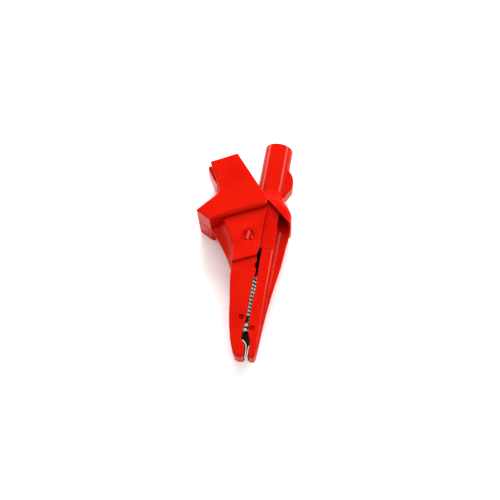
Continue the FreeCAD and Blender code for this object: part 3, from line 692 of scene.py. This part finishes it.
LIP = [(0.0, 0.0), (2.5, 0.12), (4.4, 0.36), (5.6, 0.65), (6.05, 1.0), (6.3, 1.9)]  # level, share
lip = loft([[(u, v, z) for u, v in lip_ring(share)] for z, share in LIP])
shell = combine(spine, [cheek, root, ear, flare, lip,
                        loft([cover_ring(*station) for station in COVER])])
shell = combine(shell, [
    cover_room(),
    cylinder(PIN_R, -1, BEYOND, sides=64),
    cylinder(CAP_SEAT_R, CAP_SEAT_LEVEL, BEYOND),
    cylinder(JAW_PIN_R, -1, BEYOND, COVER_PIN, sides=48),
    dimple(COVER_PIN, COVER_PIN_LEVEL + DIMPLE_SINK),
], "DIFFERENCE")
shell_red = red_plastic("red_shell", 0.03, 0.20)
mirrored = shell.copy()
bmesh.ops.scale(mirrored, verts=mirrored.verts, vec=(1, 1, -1))
new_piece("lever_shell_top", shell, "lever", ["lever_shell_upper"], shell_red)
new_piece("lever_shell_bottom", mirrored, "lever", ["lever_shell_lower"], shell_red)

# ---- pivot caps and jaw pins --------------------------------------------------------------
# Red plastic plugs pressed over the ends of the pivot pin, each a dish with a rib and a stub
# in it, and the two red pins that lock the contact metal into the jaws, with rounded ends.
cap_red = red_plastic("red_cap", 0.05, 0.18)


def turned_piece(profile, at=(0.0, 0.0)):
    """A solid turned about an axis through the clip's thickness from (radius, level) pairs."""
    build = bmesh.new()
    verts = [build.verts.new((r, 0, z)) for r, z in profile]
    edges = [build.edges.new(pair) for pair in zip(verts, verts[1:])]
    bmesh.ops.spin(build, geom=verts + edges, cent=(0, 0, 0), axis=(0, 0, 1),
                   angle=2 * math.pi, steps=64, use_merge=True)
    bmesh.ops.remove_doubles(build, verts=build.verts, dist=0.0005)
    bmesh.ops.translate(build, verts=build.verts, vec=(*at, 0))
    bmesh.ops.recalc_face_normals(build, faces=build.faces)
    return build


CAP = [(0.0, 7.1), (3.05, 7.1), (3.05, 7.86), (2.98, 7.93), (2.45, 7.93), (2.36, 7.88),
       (2.3, 7.7), (2.24, 7.3), (2.0, 7.16), (1.7, 7.12), (0.0, 7.12)]
CAP_RIB = [(7.05, -1.5, 0.28, -2.1, 2.1), (7.5, -1.46, 0.24, -2.05, 2.05),
           (8.12, -1.05, -0.52, -1.9, 1.9), (8.22, -0.96, -0.64, -1.8, 1.8)]
CAP_STUB = [(7.05, 0.85, 2.1, -1.5, 0.3), (7.5, 0.9, 2.05, -1.45, 0.25),
            (7.95, 1.25, 1.5, -1.25, 0.05)]


def cap_rib(stations, side):
    """A rib in the cap's dish with sloping sides: level, then its edges across and along."""
    build = loft([[(left, low, z * side), (right, low, z * side), (right, high, z * side),
                   (left, high, z * side)] for z, left, right, low, high in stations])
    bmesh.ops.rotate(build, verts=build.verts, matrix=Matrix.Rotation(math.radians(-8), 3, "Z"))
    return build


for side, name in ((1, "upper"), (-1, "lower")):
    build = combine(turned_piece([(r, z * side) for r, z in CAP]),
                    [cap_rib(CAP_RIB, side), cap_rib(CAP_STUB, side)])
    new_piece(f"pivot_cap_{name}_plug", build, "lever", [f"pivot_cap_{name}"], cap_red,
              25.0)
PIN_DOME = [(0.0, -0.12), (0.22, -0.15), (0.42, -0.24), (0.58, -0.40), (0.70, -0.62),
            (0.78, -0.85)]
for name, at, level, body in (("fixed_jaw_pin", BAR_PIN, BAR_PIN_LEVEL, "housing"),
                              ("moving_jaw_pin", COVER_PIN, COVER_PIN_LEVEL - 0.4, "lever")):
    end = [(r, level + drop) for r, drop in PIN_DOME]
    build = turned_piece([(r, -z) for r, z in end] + [(r, z) for r, z in reversed(end)], at)
    new_piece(f"{name}_plug", build, body, [name], cap_red)

# ---- torsion spring -----------------------------------------------------------------------
# Hard-drawn steel wire wound a little over four turns round the bush. One straight leg
# presses on the socket sleeve's tab and the other on the inside of the lever.
WIRE_R, WIRE_SIDES, COIL_R, TURNS, COIL_PITCH = 0.45, 14, 2.85, 4.366, 1.0
RISE = TURNS * COIL_PITCH
coil_start = math.radians(-10.2)
coil_end = coil_start - TURNS * 2 * math.pi
start_at = (COIL_R * math.cos(coil_start), COIL_R * math.sin(coil_start))
end_at = (COIL_R * math.cos(coil_end), COIL_R * math.sin(coil_end))


def wound_wire():
    """The coil of round wire, wound clockwise from its start and rising evenly."""
    build = bmesh.new()
    bmesh.ops.create_circle(build, cap_ends=False, segments=WIRE_SIDES, radius=WIRE_R)
    bmesh.ops.rotate(build, verts=build.verts, matrix=Matrix.Rotation(math.pi / 2, 3, "X"))
    bmesh.ops.translate(build, verts=build.verts, vec=(COIL_R, 0, -RISE / 2))
    bmesh.ops.rotate(build, verts=build.verts, matrix=Matrix.Rotation(coil_start, 3, "Z"))
    steps = round(TURNS * 44)
    bmesh.ops.spin(build, geom=build.verts[:] + build.edges[:], cent=(0, 0, 0), axis=(0, 0, -1),
                   angle=TURNS * 2 * math.pi, steps=steps, dvec=(0, 0, RISE / steps))
    rims = [e for e in build.edges if len(e.link_faces) == 1]
    bmesh.ops.holes_fill(build, edges=rims, sides=0)
    bmesh.ops.recalc_face_normals(build, faces=build.faces)
    return build


def leg(first, direction, length, level):
    """A straight leg of wire with a chamfered end."""
    build = bmesh.new()
    bmesh.ops.create_cone(build, cap_ends=True, segments=WIRE_SIDES, radius1=WIRE_R,
                          radius2=WIRE_R, depth=length)
    ends = [e for e in build.edges if all(v.co.z > 0 for v in e.verts)]
    bmesh.ops.bevel(build, geom=ends, offset=0.12, offset_type="OFFSET", affect="EDGES",
                    segments=2, profile=0.5, material=-1)
    bmesh.ops.translate(build, verts=build.verts, vec=(0, 0, length / 2))
    along = Vector((math.cos(direction), math.sin(direction), 0))
    turn = along.to_track_quat("Z", "Y").to_matrix()
    bmesh.ops.rotate(build, verts=build.verts, matrix=turn)
    bmesh.ops.translate(build, verts=build.verts, vec=(*first, level))
    return build


def plated(name, light, dark, rough, unshaded_run=None):
    """Plated or drawn metal with streaks along it, with painted shade in dark brown beyond both
    ends of an unshaded run.
    """
    made, shader, place = material(name)
    cloud = noise(place, 300.0, 4.0)
    streak = stretched_noise(place, (4000.0, 120.0, 4000.0))
    colour = cloud.between(0.4, 0.75).mix(light, dark)
    if unshaded_run:
        tip, root = unshaded_run
        along = place.out("ShaderNodeSeparateXYZ", output="Y", Vector=place)
        shade_past_tip = (along + cloud * 0.001).between(tip, tip + 0.0012)
        shade_past_root = (along + cloud * 0.002).between(root, root + 0.0020)
        # Painted shade: dark brown past the tip and past the root, where the jaw metal lies in
        # shadow deep in the gap.
        colour = (shade_past_tip * (1.0 - shade_past_root)).mix((0.060, 0.045, 0.040, 1), colour)
    feed(shader, Base_Color=colour, Metallic=1.0,
         Roughness=cloud * 0.18 + (rough - 0.09) + streak * 0.08,
         Normal=bump(streak, 0.000006, 0.35))
    return made


steel = plated("spring_wire", (0.52, 0.52, 0.53, 1), (0.38, 0.38, 0.39, 1), 0.34)
coil = combine(wound_wire(), [leg(start_at, coil_start + math.pi / 2, 13.5, -RISE / 2)])
new_piece("torsion_spring_coil", coil, "housing", ["torsion_spring"], steel, 50.0)
new_piece("torsion_spring_lever_leg",
          leg(end_at, coil_end - math.pi / 2, 14.5, RISE / 2), "lever", (), steel,
          50.0)

# ---- contact metal ------------------------------------------------------------------------
# Both toothed jaws are folded from nickel-plated sheet, painted dark brown for shade past the
# nose and past the root. Each has its end turned into a lip at the nose in a lighter, glossier
# nickel that paints its highlight, and a dark metal sheet between them paints the shade in the
# gap. The sleeve, its rivet and the bush are turned brass, plated, and the pivot pin is plain
# bright steel.
nickel = plated("nickel_sheet", (0.60, 0.60, 0.58, 1), (0.44, 0.44, 0.42, 1), 0.34,
                (-0.0822, -0.0580))
brass_nickel = plated("sleeve_plating", (0.62, 0.60, 0.55, 1), (0.50, 0.46, 0.39, 1), 0.28)
# A lighter, glossier copy of the jaw nickel for the folded lips: a painted highlight on the same
# sheet.
highlight_nickel = plated("nickel_lip_painted_highlight", (0.80, 0.79, 0.76, 1), (0.66, 0.65, 0.62, 1), 0.24)
LIP_THICK = 0.45


def folded_lip(path, half):
    """The jaw sheet's folded edge: a strip along a curved path, as tall as the channel."""
    line = fairing(path, 4)
    other = []
    for i, here in enumerate(line):
        run = (line[min(i + 1, len(line) - 1)] - line[max(i - 1, 0)]).normalized()
        other.append(here + Vector((run.y, -run.x)) * LIP_THICK)
    return plate(line + other[::-1], -half, half, 0.1, 0.1, 2)


MOVING_LIP = [(4.45, -41.45), (5.35, -42.0), (6.1, -42.8), (6.6, -43.9), (6.85, -45.6),
              (6.9, -48.05)]
FIXED_LIP = [(7.75, -43.6), (7.6, -44.6), (7.55, -46.2), (7.6, -48.1)]
new_piece("moving_jaw_lip", folded_lip(MOVING_LIP, 3.05), "lever", (), highlight_nickel)
new_piece("fixed_jaw_lip", folded_lip(FIXED_LIP, 2.9), "housing", (), highlight_nickel)
# A dark metal sheet between the jaws, put there only as painted shade for the shadowed gap.
shade_sheet_metal = plated("painted_shade_sheet_metal", (0.055, 0.040, 0.035, 1), (0.020, 0.014, 0.012, 1), 0.45)
shade_sheet_build = plate([(8.1, -33.5), (5.5, -33.5), (5.3, -36.5), (4.5, -38.6), (4.4, -41.2), (5.0, -43.6),
                (6.0, -46.4), (8.1, -46.4)], -1.5, 1.5, 0.2, 0.2, 2)
new_piece("painted_shade_sheet", shade_sheet_build, "housing", (), shade_sheet_metal)
FINISHES = {
    "fixed_contact_jaw": nickel, "moving_contact_jaw": nickel,
    "socket_sleeve": brass_nickel, "contact_rivet": brass_nickel, "spacer_bush": brass_nickel,
    "pivot_pin": steel,
}
for node_name, finish in FINISHES.items():
    slots = frame["nodes"][node_name].data.materials
    for i in range(len(slots)):
        slots[i] = finish
